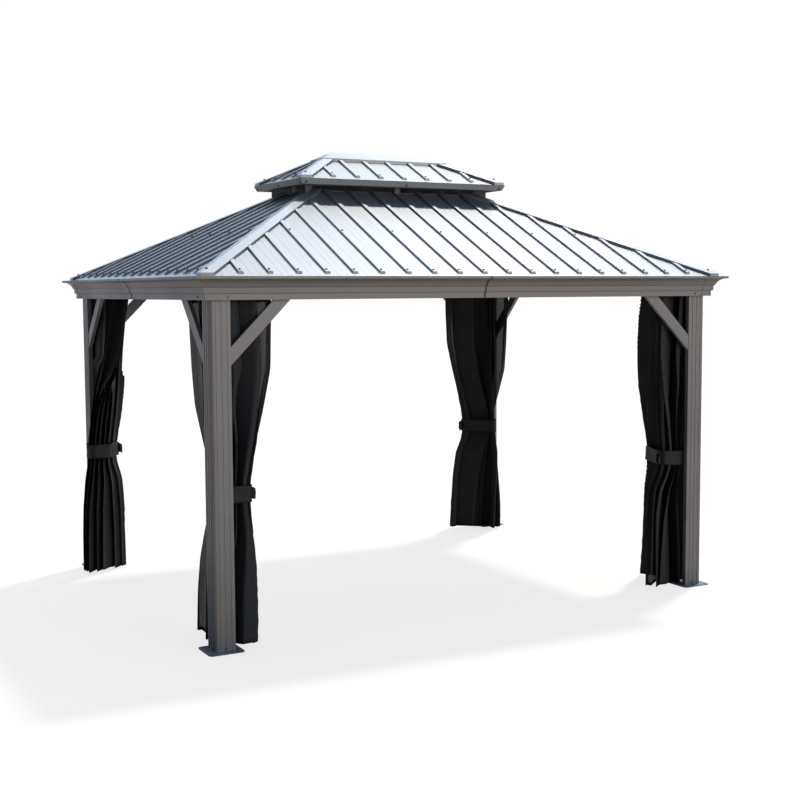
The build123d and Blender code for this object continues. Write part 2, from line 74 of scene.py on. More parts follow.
# Powder coat has soft patches of tone and a fine orange-peel grain.
coat_grain = bpy.data.node_groups.new("coat_grain", "ShaderNodeTree")
given, result = sockets(
    coat_grain,
    {"Mottle Scale": "Float", "Grain Scale": "Float"},
    {"Mottle": "Float", "Grain": "Float"},
)
place = put(coat_grain, "ShaderNodeTexCoord").outputs["Object"]
mottle = put(
    coat_grain, "ShaderNodeTexNoise",
    {"Vector": place, "Scale": given["Mottle Scale"], "Detail": 4.0, "Roughness": 0.62},
)
peel = put(
    coat_grain, "ShaderNodeTexNoise",
    {"Vector": place, "Scale": given["Grain Scale"], "Detail": 2.0, "Roughness": 0.5},
)
spread = put(
    coat_grain, "ShaderNodeMapRange",
    {"Value": mottle.outputs["Fac"], "From Min": 0.32, "From Max": 0.68},
    interpolation_type="SMOOTHSTEP",
)
coat_grain.links.new(spread.outputs["Result"], result.inputs["Mottle"])
coat_grain.links.new(peel.outputs["Fac"], result.inputs["Grain"])
paint_mottle, paint_peel = 2.6, 420.0
gloss_below, gloss_above = 0.05, 0.07


def coat(name, tone, patch, gloss, foot=None, foot_reflection_heights=(0.05, 0.7)):
    """Powder-coated metal in two close tones; foot is the tone it fades to near the ground, a painted cool
    reflection.
    """
    finish = bpy.data.materials.new(name)
    finish.use_nodes = True
    tree = finish.node_tree
    shader = tree.nodes["Principled BSDF"]
    texture = put(tree, "ShaderNodeGroup", {}, node_tree=coat_grain)
    texture.inputs["Mottle Scale"].default_value = paint_mottle
    texture.inputs["Grain Scale"].default_value = paint_peel
    colour = put(
        tree, "ShaderNodeMix",
        {0: texture.outputs["Mottle"], 6: (*tone, 1), 7: (*patch, 1)},
        data_type="RGBA",
    ).outputs[2]
    # Painted reflection: the fade to the foot tone near the ground stands in for cool light reflected
    # there.
    if foot:
        spot = put(tree, "ShaderNodeTexCoord").outputs["Object"]
        height = put(tree, "ShaderNodeSeparateXYZ", {0: spot}).outputs["Z"]
        foot_reflection_fade = put(
            tree, "ShaderNodeMapRange",
            {"Value": height, "From Min": foot_reflection_heights[1], "From Max": foot_reflection_heights[0]},
            interpolation_type="SMOOTHSTEP",
        )
        colour = put(
            tree, "ShaderNodeMix",
            {0: foot_reflection_fade.outputs["Result"], 6: colour, 7: (*foot, 1)},
            data_type="RGBA",
        ).outputs[2]
    tree.links.new(colour, shader.inputs["Base Color"])
    sheen = put(
        tree, "ShaderNodeMapRange",
        {
            "Value": texture.outputs["Mottle"],
            "To Min": gloss - gloss_below,
            "To Max": gloss + gloss_above,
        },
    )
    tree.links.new(sheen.outputs["Result"], shader.inputs["Roughness"])
    skin = put(
        tree, "ShaderNodeBump",
        {"Strength": 0.12, "Distance": 0.0006, "Height": texture.outputs["Grain"]},
    )
    tree.links.new(skin.outputs["Normal"], shader.inputs["Normal"])
    return finish


def dress(finish, *nodes):
    """Gives pieces of the frame their finish."""
    for node in nodes:
        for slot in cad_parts[node].material_slots:
            slot.material = finish


plate_paint = coat("plate_paint", (0.080, 0.112, 0.150), (0.108, 0.140, 0.176), 0.42)
dress(plate_paint, *[f"base_plate_{corner}" for corner in corners])


# Corner posts and knee braces: L-shaped aluminium extrusions with shallow flutes, and flat
# tubes at 45 degrees that stiffen them. All are powder-coated in a warm taupe grey, which
# fades to a cooler blue-grey near the ground, a painted reflection of the surroundings.
frame_paint = coat(
    "frame_paint", (0.146, 0.142, 0.140), (0.170, 0.166, 0.163), 0.40,
    foot=(0.105, 0.122, 0.145), foot_reflection_heights=(0.0, 0.17),
)
for corner in corners:
    dress(frame_paint, f"post_{corner}", f"braces_{corner}")


# Eave beams: crown-moulded aluminium extrusions, two to a side with a seam between them,
# closed at the corners by mitred caps. Their coat is a shade browner than the posts'.
sides = ("front", "right", "back", "left")
beam_paint = coat("beam_paint", (0.140, 0.132, 0.125), (0.164, 0.155, 0.148), 0.40)
dress(beam_paint, *[f"eave_beam_{side}" for side in sides])
dress(beam_paint, *[f"eave_corner_{corner}" for corner in corners])


# Beam seams: a thin black strip laid round each joint between two half beams, over the
# moulded face, the underside and the inner face; its colour is painted shade of the joint's gap.
beam_low, beam_height, beam_body, moulding_out = 1.934, 0.128, 0.066, 0.079
seam_reach = {"front": 1.441, "right": 1.830, "back": 1.441, "left": 1.830}
moulding_foot = ((0, 0), (0, 0.26), (0.13, 0.285), (0.15, 0.52), (0.25, 0.56))
hollow_bow = ((0.25, 0.56), (0.45, 0.77), (0.92, 0.885))
moulding_head = ((1, 0.89), (1, 0.995))
hollow_steps = 8
inner_share = 0.98
seam_shade_half = 0.0042
seam_shade_proud = 0.0003
seam_shade_thickness = 0.0004


def bow(points, steps):
    """Points on the arc through three points, after the first."""
    start, middle, end = np.array(points)
    chords = np.array([middle - start, end - middle])
    halfway = np.array([start + middle, middle + end]) / 2
    centre = np.linalg.solve(chords, (chords * halfway).sum(axis=1))
    radius = np.linalg.norm(start - centre)
    first, last = (math.atan2(y, x) for x, y in (start - centre, end - centre))
    sweep = (last - first + math.pi) % (2 * math.pi) - math.pi
    angles = first + sweep * np.arange(1, steps + 1) / steps
    return list(zip(centre[0] + radius * np.cos(angles), centre[1] + radius * np.sin(angles)))


def moulded(shares):
    """Turns shares of the moulding's reach and height into metres."""
    return [(out * moulding_out, up * beam_height) for out, up in shares]


section = [(-beam_body, inner_share * beam_height), (-beam_body, 0)]
section += moulded(moulding_foot) + bow(moulded(hollow_bow), hollow_steps) + moulded(moulding_head)
section = np.array(section)
facing = np.gradient(section, axis=0)
facing = np.stack([facing[:, 1], -facing[:, 0]], axis=1)
section = section + seam_shade_proud * facing / np.linalg.norm(facing, axis=1)[:, None]

# Painted shade: these near-black strips stand in for the shadow in each seam's narrow gap.
seam_shade_paint = coat("seam_shade_paint", (0.010, 0.011, 0.012), (0.016, 0.017, 0.018), 0.6)
outward = {"front": (0, -1), "right": (1, 0), "back": (0, 1), "left": (-1, 0)}
seam_shade_mesh = bpy.data.meshes.new("beam_seams")
seam_shade_points, seam_shade_faces = [], []
for side in sides:
    ox, oy = outward[side]
    for out, up in section:
        depth = seam_reach[side] - moulding_out + out
        for place in (-seam_shade_half, seam_shade_half):
            seam_shade_points.append((ox * depth - oy * place, oy * depth + ox * place, beam_low + up))
    start = len(seam_shade_points) - 2 * len(section)
    for step in range(len(section) - 1):
        first = start + 2 * step
        seam_shade_faces.append((first, first + 1, first + 3, first + 2))
seam_shade_mesh.from_pydata(seam_shade_points, [], seam_shade_faces)
seam_shade_mesh.materials.append(seam_shade_paint)
beam_seams = bpy.data.objects.new("beam_seams", seam_shade_mesh)
bpy.context.scene.collection.objects.link(beam_seams)
seam_shade_wall = beam_seams.modifiers.new("tape", "SOLIDIFY")
seam_shade_wall.thickness = seam_shade_thickness
seam_shade_wall.offset = 1.0
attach(beam_seams, "root")


# Rafters, vent curb, legs and ring: steel tubes under the roof, seen from below and through
# the vent, bolted together and coated in the same taupe with a flatter sheen.
tube_paint = coat("tube_paint", (0.165, 0.152, 0.142), (0.190, 0.176, 0.165), 0.5)
dress(tube_paint, "hip_rafters", "common_rafters", "vent_curb", "vent_legs")
dress(tube_paint, "upper_ring", "ridge_bar", "upper_rafters")


# Roof slopes: folded steel sheet, coil-coated in a glossy dark slate, with a raised rib every
# 172 mm and two fine pressed lines in each flat pan. The sheets are screwed to the rafters.
rib_pitch = 0.172
lacquer = {"Specular IOR Level": 1.0, "Coat Weight": 1.0, "Coat Roughness": 0.30}
pan_line_share = 0.14
pan_line_width = 0.0045
sheet_mottle, sheet_peel = 1.7, 300.0
sheet_gloss = (0.42, 0.50)
streak_long, streak_fine = 0.5, 9.0

pan_lines = bpy.data.node_groups.new("pan_lines", "ShaderNodeTree")
given, result = sockets(
    pan_lines,
    {"Across": "Float", "Pitch": "Float", "Width": "Float"},
    {"Line": "Float"},
)
share = put(pan_lines, "ShaderNodeMath", {0: given["Across"], 1: given["Pitch"]}, operation="DIVIDE")
step = put(pan_lines, "ShaderNodeMath", {0: share.outputs[0]}, operation="FRACT")
middle = put(pan_lines, "ShaderNodeMath", {0: step.outputs[0], 1: 0.5}, operation="SUBTRACT")
apart = put(pan_lines, "ShaderNodeMath", {0: middle.outputs[0]}, operation="ABSOLUTE")
offset = put(pan_lines, "ShaderNodeMath", {0: apart.outputs[0], 1: pan_line_share}, operation="SUBTRACT")
away = put(pan_lines, "ShaderNodeMath", {0: offset.outputs[0]}, operation="ABSOLUTE")
metres = put(pan_lines, "ShaderNodeMath", {0: away.outputs[0], 1: given["Pitch"]}, operation="MULTIPLY")
bead = put(
    pan_lines, "ShaderNodeMapRange",
    {"Value": metres.outputs[0], "From Min": given["Width"], "From Max": 0.0},
    interpolation_type="SMOOTHSTEP",
)
pan_lines.links.new(bead.outputs["Result"], result.inputs["Line"])


def sheet_coat(name, across, tone, patch):
    """Coil-coated sheet whose ribs step along the given axis."""
    finish = bpy.data.materials.new(name)
    finish.use_nodes = True
    tree = finish.node_tree
    shader = tree.nodes["Principled BSDF"]
    for key, value in lacquer.items():
        shader.inputs[key].default_value = value
    spot = put(tree, "ShaderNodeTexCoord").outputs["Object"]
    axes = put(tree, "ShaderNodeSeparateXYZ", {0: spot})
    line = put(tree, "ShaderNodeGroup", {}, node_tree=pan_lines)
    tree.links.new(axes.outputs[across], line.inputs["Across"])
    line.inputs["Pitch"].default_value = rib_pitch
    line.inputs["Width"].default_value = pan_line_width
    texture = put(tree, "ShaderNodeGroup", {}, node_tree=coat_grain)
    texture.inputs["Mottle Scale"].default_value = sheet_mottle
    texture.inputs["Grain Scale"].default_value = sheet_peel
    stretch = [streak_fine if axis == across else streak_long for axis in "XYZ"]
    streak_place = put(tree, "ShaderNodeMapping", {"Vector": spot, "Scale": stretch})
    streak = put(
        tree, "ShaderNodeTexNoise",
        {"Vector": streak_place.outputs[0], "Scale": 3.0, "Detail": 3.0},
    )
    tones = put(
        tree, "ShaderNodeMix",
        {0: streak.outputs["Fac"], 6: (*tone, 1), 7: (*patch, 1)},
        data_type="RGBA",
    )
    tree.links.new(tones.outputs[2], shader.inputs["Base Color"])
    gloss = put(
        tree, "ShaderNodeMapRange",
        {"Value": texture.outputs["Mottle"], "To Min": sheet_gloss[0], "To Max": sheet_gloss[1]},
    )
    tree.links.new(gloss.outputs["Result"], shader.inputs["Roughness"])
    skin = put(
        tree, "ShaderNodeBump",
        {"Strength": 0.05, "Distance": 0.0004, "Height": texture.outputs["Grain"]},
    )
    pressed = put(
        tree, "ShaderNodeBump",
        {
            "Strength": 0.55,
            "Distance": 0.0016,
            "Height": line.outputs["Line"],
            "Normal": skin.outputs["Normal"],
        },
    )
    tree.links.new(pressed.outputs["Normal"], shader.inputs["Normal"])
    return finish


sheet_tones = ((0.056, 0.078, 0.108), (0.074, 0.096, 0.128))
long_sheet = sheet_coat("long_sheet", "X", *sheet_tones)
end_sheet = sheet_coat("end_sheet", "Y", *sheet_tones)
for tier in ("roof_slope", "upper_slope"):
    dress(long_sheet, f"{tier}_front", f"{tier}_back")
    dress(end_sheet, f"{tier}_left", f"{tier}_right")


# Hip caps, ridge cap and fascia: folded trim. The caps, in the sheet's own coating, are laid
# over the cut ends of the ribs along the hips and the ridge and held by screws. The fascia,
# in a lighter grey, is screwed round the edge of the upper roof.
trim_coat = coat("trim_coat", (0.058, 0.080, 0.110), (0.074, 0.096, 0.128), 0.46)
for key, value in lacquer.items():
    trim_coat.node_tree.nodes["Principled BSDF"].inputs[key].default_value = value
fascia_coat = coat("fascia_coat", (0.185, 0.212, 0.222), (0.220, 0.245, 0.252), 0.36)
dress(trim_coat, "roof_hip_caps", "upper_hip_caps", "ridge_cap")
dress(fascia_coat, "upper_fascia")


# Screws: hexagon heads on pressed washers, in plated steel. They hold the sheets to the
# rafters through the ribs, the hip caps at their ends, the fascia, the beams and the posts.
slope_share = 0.48
main_roof = (1.786, 1.397, 2.062)
upper_roof = (0.755, 0.392, 2.693)
rib_height = 0.014

screw_heads = bpy.data.node_groups.new("screw_heads", "GeometryNodeTree")
given, result = sockets(
    screw_heads,
    {
        "Places": "Geometry",
        "Head Radius": "Float",
        "Head Height": "Float",
        "Washer Radius": "Float",
        "Washer Height": "Float",
        "Finish": "Material",
    },
    {"Screws": "Geometry"},
)
washer = put(
    screw_heads, "GeometryNodeMeshCylinder",
    {"Vertices": 14, "Radius": given["Washer Radius"], "Depth": given["Washer Height"]},
)
head = put(
    screw_heads, "GeometryNodeMeshCylinder",
    {"Vertices": 6, "Radius": given["Head Radius"], "Depth": given["Head Height"]},
)
rise = put(screw_heads, "ShaderNodeMath", {0: given["Head Height"], 1: 0.5}, operation="MULTIPLY")
lift = put(screw_heads, "ShaderNodeCombineXYZ", {"Z": rise.outputs[0]})
seated = put(
    screw_heads, "GeometryNodeTransform",
    {"Geometry": head.outputs["Mesh"], "Translation": lift.outputs[0]},
)
whole = put(screw_heads, "GeometryNodeJoinGeometry")
screw_heads.links.new(washer.outputs["Mesh"], whole.inputs[0])
screw_heads.links.new(seated.outputs[0], whole.inputs[0])
aim = put(screw_heads, "GeometryNodeInputNamedAttribute", {"Name": "aim"}, data_type="FLOAT_VECTOR")
turn = put(
    screw_heads, "FunctionNodeAlignRotationToVector",
    {"Vector": aim.outputs["Attribute"]},
    axis="Z",
)
spots = put(
    screw_heads, "GeometryNodeInstanceOnPoints",
    {"Points": given["Places"], "Instance": whole.outputs[0], "Rotation": turn.outputs[0]},
)
real = put(screw_heads, "GeometryNodeRealizeInstances", {"Geometry": spots.outputs[0]})
finished = put(
    screw_heads, "GeometryNodeSetMaterial",
    {"Geometry": real.outputs[0], "Material": given["Finish"]},
)
screw_heads.links.new(finished.outputs[0], result.inputs[0])


def grow(name, tree, places, attributes, inputs):
    """Runs a node tree on a set of points and keeps what it makes as a plain mesh."""
    mesh = bpy.data.meshes.new(name)
    mesh.from_pydata(places, [], [])
    for key, values in attributes.items():
        layer = mesh.attributes.new(key, "FLOAT_VECTOR", "POINT")
        layer.data.foreach_set("vector", np.array(values, dtype=np.float32).ravel())
    piece = bpy.data.objects.new(name, mesh)
    bpy.context.scene.collection.objects.link(piece)
    modifier = piece.modifiers.new(name, "NODES")
    modifier.node_group = tree
    for item in tree.interface.items_tree:
        if item.in_out == "INPUT" and item.name in inputs:
            modifier[item.identifier] = inputs[item.name]
    grown = piece.evaluated_get(bpy.context.evaluated_depsgraph_get())
    made = bpy.data.meshes.new_from_object(grown)
    piece.modifiers.clear()
    piece.data = made
    made.name = name
    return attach(piece, "root")


screw_steel = bpy.data.materials.new("screw_steel")
screw_steel.use_nodes = True
steel = screw_steel.node_tree
zinc = put(
    steel, "ShaderNodeTexNoise",
    {"Vector": put(steel, "ShaderNodeTexCoord").outputs["Object"], "Scale": 260.0, "Detail": 2.0},
)
zinc_tones = put(
    steel, "ShaderNodeMix",
    {0: zinc.outputs["Fac"], 6: (0.045, 0.050, 0.055, 1), 7: (0.10, 0.105, 0.11, 1)},
    data_type="RGBA",
)
steel.links.new(zinc_tones.outputs[2], steel.nodes["Principled BSDF"].inputs["Base Color"])
steel.nodes["Principled BSDF"].inputs["Metallic"].default_value = 0.6
steel.nodes["Principled BSDF"].inputs["Roughness"].default_value = 0.42


def slope_screw(tier, outward, step, run):
    """A screw on a rib's crown, some ribs from the slope's middle and a run in plan up from its eave."""
    half_x, half_y, foot_z = tier
    ox, oy = outward
    depth = (half_x if ox else half_y) - run
    place = step * rib_pitch
    height = foot_z + run * slope_share + rib_height
    spot = (ox * depth - oy * place, oy * depth + ox * place, height)
    return spot, Vector((ox * slope_share, oy * slope_share, 1)).normalized()


eave_run = 0.052
second_run = 0.560
upper_eave_run = 0.056
roof_fixings = []
for side in sides:
    is_long = side in ("front", "back")
    for step in range(-9, 10) if is_long else range(-7, 8):
        roof_fixings.append(slope_screw(main_roof, outward[side], step, eave_run))
    for step in (-6, -4, -2, 0, 2, 4, 6) if is_long else (-4, -2, 0, 2, 4):
        if abs(step) * rib_pitch < main_roof[0 if is_long else 1] - second_run:
            roof_fixings.append(slope_screw(main_roof, outward[side], step, second_run))
    for step in (-3, -1, 1, 3) if is_long else (-1, 1):
        roof_fixings.append(slope_screw(upper_roof, outward[side], step, upper_eave_run))
cap_thickness = 0.0045
cap_run = 0.05
for east, north in corners.values():
    for half_x, half_y, foot_z in (main_roof, upper_roof):
        height = foot_z + cap_run * slope_share + rib_height + cap_thickness
        roof_fixings.append((
            (east * (half_x - cap_run), north * (half_y - cap_run), height),
            Vector((east * slope_share, north * slope_share, 2)).normalized(),
        ))
roof_screws = grow(
    "roof_screws", screw_heads,
    [spot for spot, aim in roof_fixings], {"aim": [aim for spot, aim in roof_fixings]},
    {
        "Head Radius": 0.0050,
        "Head Height": 0.0055,
        "Washer Radius": 0.0085,
        "Washer Height": 0.0030,
        "Finish": screw_steel,
    },
)

cap_face_x, cap_face_y, band_z = 1.749, 1.360, 1.951
post_face_x, post_face_y, foot_z = 1.715, 1.326, 0.018
cap_screw_in = 0.127
post_screw_in_x, post_screw_in_y = 0.064, 0.045
frame_fixings = []
for east, north in corners.values():
    for face_x, face_y, in_x, in_y, height in (
        (cap_face_x, cap_face_y, cap_screw_in, cap_screw_in, band_z),
        (post_face_x, post_face_y, post_screw_in_x, post_screw_in_y, foot_z),
    ):
        frame_fixings.append(((east * (face_x - in_x), north * face_y, height), (0, north, 0)))
        frame_fixings.append(((east * face_x, north * (face_y - in_y), height), (east, 0, 0)))
fascia_x, fascia_y, fascia_z = 0.7498, 0.3868, 2.667
fascia_ends = 0.030
fascia_out, fascia_down = 0.92, -0.4
for side in sides:
    ox, oy = outward[side]
    along, depth = (fascia_x, fascia_y) if oy else (fascia_y, fascia_x)
    for place in (fascia_ends - along, 0, along - fascia_ends):
        frame_fixings.append((
            (ox * depth - oy * place, oy * depth + ox * place, fascia_z),
            (fascia_out * ox, fascia_out * oy, fascia_down),
        ))
frame_screws = grow(
    "frame_screws", screw_heads,
    [spot for spot, aim in frame_fixings], {"aim": [aim for spot, aim in frame_fixings]},
    {
        "Head Radius": 0.0048,
        "Head Height": 0.0045,
        "Washer Radius": 0.0080,
        "Washer Height": 0.0020,
        "Finish": screw_steel,
    },
)


# Curtain rails: slim aluminium channels on the inner faces of the beams, and the white
# plastic runners with hooks that slide in them and carry the netting.
rail_metal = coat("rail_metal", (0.30, 0.30, 0.30), (0.36, 0.36, 0.355), 0.35)
dress(rail_metal, "curtain_rails")

hook_plastic = bpy.data.materials.new("hook_plastic")
hook_plastic.use_nodes = True
plastic = hook_plastic.node_tree
haze = put(
    plastic, "ShaderNodeTexNoise",
    {"Vector": put(plastic, "ShaderNodeTexCoord").outputs["Object"], "Scale": 90.0, "Detail": 2.0},
)
whites = put(
    plastic, "ShaderNodeMix",
    {0: haze.outputs["Fac"], 6: (0.62, 0.62, 0.60, 1), 7: (0.74, 0.74, 0.72, 1)},
    data_type="RGBA",
)
plastic.links.new(whites.outputs[2], plastic.nodes["Principled BSDF"].inputs["Base Color"])
plastic.nodes["Principled BSDF"].inputs["Roughness"].default_value = 0.38

curtain_hooks = bpy.data.node_groups.new("curtain_hooks", "GeometryNodeTree")
given, result = sockets(
    curtain_hooks,
    {
        "Places": "Geometry",
        "Hook Radius": "Float",
        "Wire Radius": "Float",
        "Runner Size": "Vector",
        "Finish": "Material",
    },
    {"Hooks": "Geometry"},
)
bend = put(
    curtain_hooks, "GeometryNodeCurveArc",
    {
        "Resolution": 14,
        "Radius": given["Hook Radius"],
        "Start Angle": math.radians(110),
        "Sweep Angle": math.radians(290),
    },
)
upright = put(
    curtain_hooks, "GeometryNodeTransform",
    {"Geometry": bend.outputs[0], "Rotation": (math.radians(90), 0, 0)},
)
drop = put(curtain_hooks, "ShaderNodeMath", {0: given["Hook Radius"], 1: -1.2}, operation="MULTIPLY")
below = put(curtain_hooks, "ShaderNodeCombineXYZ", {"Z": drop.outputs[0]})
hung = put(
    curtain_hooks, "GeometryNodeTransform",
    {"Geometry": upright.outputs[0], "Translation": below.outputs[0]},
)
wire = put(
    curtain_hooks, "GeometryNodeCurvePrimitiveCircle",
    {"Resolution": 6, "Radius": given["Wire Radius"]},
)
hook = put(
    curtain_hooks, "GeometryNodeCurveToMesh",
    {"Curve": hung.outputs[0], "Profile Curve": wire.outputs[0], "Fill Caps": True},
)
runner = put(curtain_hooks, "GeometryNodeMeshCube", {"Size": given["Runner Size"]})
whole = put(curtain_hooks, "GeometryNodeJoinGeometry")
curtain_hooks.links.new(runner.outputs["Mesh"], whole.inputs[0])
curtain_hooks.links.new(hook.outputs[0], whole.inputs[0])
aim = put(curtain_hooks, "GeometryNodeInputNamedAttribute", {"Name": "aim"}, data_type="FLOAT_VECTOR")
turn = put(
    curtain_hooks, "FunctionNodeAlignRotationToVector",
    {"Vector": aim.outputs["Attribute"]},
    axis="X",
)
spots = put(
    curtain_hooks, "GeometryNodeInstanceOnPoints",
    {"Points": given["Places"], "Instance": whole.outputs[0], "Rotation": turn.outputs[0]},
)
real = put(curtain_hooks, "GeometryNodeRealizeInstances", {"Geometry": spots.outputs[0]})
finished = put(
    curtain_hooks, "GeometryNodeSetMaterial",
    {"Geometry": real.outputs[0], "Material": given["Finish"]},
)
curtain_hooks.links.new(finished.outputs[0], result.inputs[0])


# Netting curtains: one piece of fine black polyester mesh at each corner, hemmed with a
# woven tape, hung from the hooks of both rails, gathered into the corner and tied there.
net_width = 3.04
net_top = 1.949
net_foot = 0.015
pleats = 7
columns = pleats * 56
rows = 64
profile_heights = (0.015, 0.25, 0.45, 0.65, 0.78, 0.93, 1.12, 1.33, 1.55, 1.80, 1.949)
profile_rise = (
    (0, 0, 0, 0, 0, 0.02, 0.36, 0.68, 0.97, 1.0, 1.0),
    (0, 0, 0, 0, 0, 0.08, 0.55, 0.97, 1.0, 1.0, 1.0),
)
profile_fall = (
    (1.0, 0.97, 0.90, 0.70, 0.12, 0, 0, 0, 0, 0, 0),
    (1.0, 0.95, 0.82, 0.50, 0.08, 0, 0, 0, 0, 0, 0),
)
profile_straight = (0, 0, 0, 0, 0, 0.09, 0.25, 0.42, 0.61, 0.84, 1.0)
profile_past = (1.0, 1.0, 1.0, 1.0, 1.0, 1.0, 0.96, 0.82, 0.40, 0.06, 0.0)
profile_gather = (0.34, 0.42, 0.58, 0.86, 1.0, 1.0, 0.86, 0.55, 0.25, 0.05, 0.0)
profile_edge = (0.30, 0.29, 0.27, 0.24, 0.21, 0.20, 0.22, 0.25, 0.26, 0.22, 0.17)
profile_lay = (58, 58, 56, 48, 40, 40, 46, 54, 58, 58, 55)
profile_steps, profile_window = 400, 25
curtain_reach = {
    "front_left": ((0.385, 0.238, 0.278), (0.495, 0.262, 0.490)),
    "front_right": ((0.345, 0.262, 0.405), (0.430, 0.255, 0.410)),
    "back_right": ((0.450, 0.295, 0.410), (0.365, 0.190, 0.265)),
    "back_left": ((0.322, 0.140, 0.215), (0.440, 0.252, 0.380)),
}
drawn_past_post = {"back_left": (0.0, -0.045, -0.100)}
rail_offset = 0.088
rail_turn = 0.060
edge_pull = 0.036
edge_starts, edge_ends = 0.20, 0.03
bundle_offset = 0.098
post_clearance = 0.045
leg_end_clearance = 0.132
clearance_ripple = 0.004
past_offset, past_slant = 0.062, 0.018
past_limit = -0.112
past_lay_share = 0.72
past_starts, past_ends = 0.3, 0.8
brace_foot, brace_passing = 1.54, 0.25
fold_samples = pleats * 48 + 1
fold_tries = 22
deepest_fold = 0.20
calm_least = 0.06
drifts = ((0.018, 1.7), (0.008, 4.3))
sway_size, sway_rise, sway_waves = 0.004, 0.9, 2.2
unevenness = ((0.20, 5.3, 1.1), (0.14, 8.9, -2.3))
loop_share = 0.16
sag_size, sag_height = 0.020, 0.16
ripple_size, ripple_waves, ripple_height = 0.006, 3.1, 0.25
crest_depth = -0.25
rail_middle = 0.039
hook_drop = 0.001

net_weave = bpy.data.node_groups.new("net_weave", "ShaderNodeTree")
given, result = sockets(
    net_weave,
    {"Pitch": "Float", "Thread": "Float", "Width": "Float", "Height": "Float", "Hem": "Float"},
    {"Cover": "Float", "Hem": "Float", "Relief": "Float"},
)
cloth = put(net_weave, "ShaderNodeUVMap", uv_map="cloth").outputs[0]
across = put(net_weave, "ShaderNodeSeparateXYZ", {0: cloth}).outputs
threads = []
for axis in ("X", "Y"):
    count = put(net_weave, "ShaderNodeMath", {0: across[axis], 1: given["Pitch"]}, operation="DIVIDE")
    cell = put(net_weave, "ShaderNodeMath", {0: count.outputs[0]}, operation="FRACT")
    centre = put(net_weave, "ShaderNodeMath", {0: cell.outputs[0], 1: 0.5}, operation="SUBTRACT")
    gap = put(net_weave, "ShaderNodeMath", {0: centre.outputs[0]}, operation="ABSOLUTE")
    threads.append(put(
        net_weave, "ShaderNodeMapRange",
        {"Value": gap.outputs[0], "From Min": 0.12, "From Max": 0.38},
        interpolation_type="SMOOTHSTEP",
    ))
lattice = put(
    net_weave, "ShaderNodeMath",
    {0: threads[0].outputs["Result"], 1: threads[1].outputs["Result"]},
    operation="MAXIMUM",
)
cover = put(
    net_weave, "ShaderNodeMapRange",
    {"Value": lattice.outputs[0], "To Min": 0.895, "To Max": given["Thread"]},
)
far_edge = put(net_weave, "ShaderNodeMath", {0: given["Width"], 1: across["X"]}, operation="SUBTRACT")
side_edge = put(
    net_weave, "ShaderNodeMath",
    {0: across["X"], 1: far_edge.outputs[0]},
    operation="MINIMUM",
)
top_edge = put(net_weave, "ShaderNodeMath", {0: given["Height"], 1: across["Y"]}, operation="SUBTRACT")
end_edge = put(
    net_weave, "ShaderNodeMath",
    {0: across["Y"], 1: top_edge.outputs[0]},
    operation="MINIMUM",
)
edge = put(
    net_weave, "ShaderNodeMath",
    {0: side_edge.outputs[0], 1: end_edge.outputs[0]},
    operation="MINIMUM",
)
hem = put(net_weave, "ShaderNodeMath", {0: edge.outputs[0], 1: given["Hem"]}, operation="LESS_THAN")
shut = put(
    net_weave, "ShaderNodeMath",
    {0: cover.outputs["Result"], 1: hem.outputs[0]},
    operation="MAXIMUM",
)
net_weave.links.new(shut.outputs[0], result.inputs["Cover"])
net_weave.links.new(hem.outputs[0], result.inputs["Hem"])
net_weave.links.new(lattice.outputs[0], result.inputs["Relief"])

netting = bpy.data.materials.new("netting")
netting.use_nodes = True
net_tree = netting.node_tree
net_shader = net_tree.nodes["Principled BSDF"]
weave = put(net_tree, "ShaderNodeGroup", {}, node_tree=net_weave)
weave_sizes = {
    "Pitch": 0.0026,
    "Thread": 0.985,
    "Width": net_width,
    "Height": net_top - net_foot,
    "Hem": 0.022,
}
for key, value in weave_sizes.items():
    weave.inputs[key].default_value = value
net_tones = put(
    net_tree, "ShaderNodeMix",
    {0: weave.outputs["Hem"], 6: (0.0135, 0.0158, 0.0190, 1), 7: (0.0045, 0.0046, 0.0050, 1)},
    data_type="RGBA",
)
net_tree.links.new(net_tones.outputs[2], net_shader.inputs["Base Color"])
net_tree.links.new(weave.outputs["Cover"], net_shader.inputs["Alpha"])
net_shader.inputs["Roughness"].default_value = 0.62
net_shader.inputs["Specular IOR Level"].default_value = 0.25
net_shader.inputs["Sheen Weight"].default_value = 0.02
net_cloth = put(net_tree, "ShaderNodeUVMap", uv_map="cloth").outputs[0]
crinkle_place = put(net_tree, "ShaderNodeMapping", {"Vector": net_cloth, "Scale": (1.0, 0.32, 1.0)})
crinkle = put(
    net_tree, "ShaderNodeTexNoise",
    {"Vector": crinkle_place.outputs[0], "Scale": 34.0, "Detail": 3.0},
)
crinkled = put(
    net_tree, "ShaderNodeBump",
    {"Strength": 0.5, "Distance": 0.006, "Height": crinkle.outputs["Fac"]},
)
net_relief = put(
    net_tree, "ShaderNodeBump",
    {
        "Strength": 0.25,
        "Distance": 0.0004,
        "Height": weave.outputs["Relief"],
        "Normal": crinkled.outputs["Normal"],
    },
)
net_tree.links.new(net_relief.outputs["Normal"], net_shader.inputs["Normal"])


def eased(values, height):
    """A curtain's profile at a height, rounded off between its given points."""
    steps = np.linspace(profile_heights[0], profile_heights[-1], profile_steps)
    line = np.interp(steps, profile_heights, values)
    window = np.hanning(profile_window)
    padded = np.pad(line, profile_window // 2, mode="edge")
    rounded = np.convolve(padded, window / window.sum(), mode="valid")
    return float(np.interp(height, steps, rounded))


def smooth(low, high, value):
    """Goes from 0 at low to 1 at high with a soft start and end."""
    part = np.clip((value - low) / (high - low), 0, 1)
    return part * part * (3 - 2 * part)


def reach_at(height, levels, rise, fall):
    """A curtain's reach along one rail at a height, from that at the rail, the tie and the foot."""
    rail, tie, foot = levels
    return tie + (rail - tie) * eased(rise, height) + (foot - tie) * eased(fall, height)


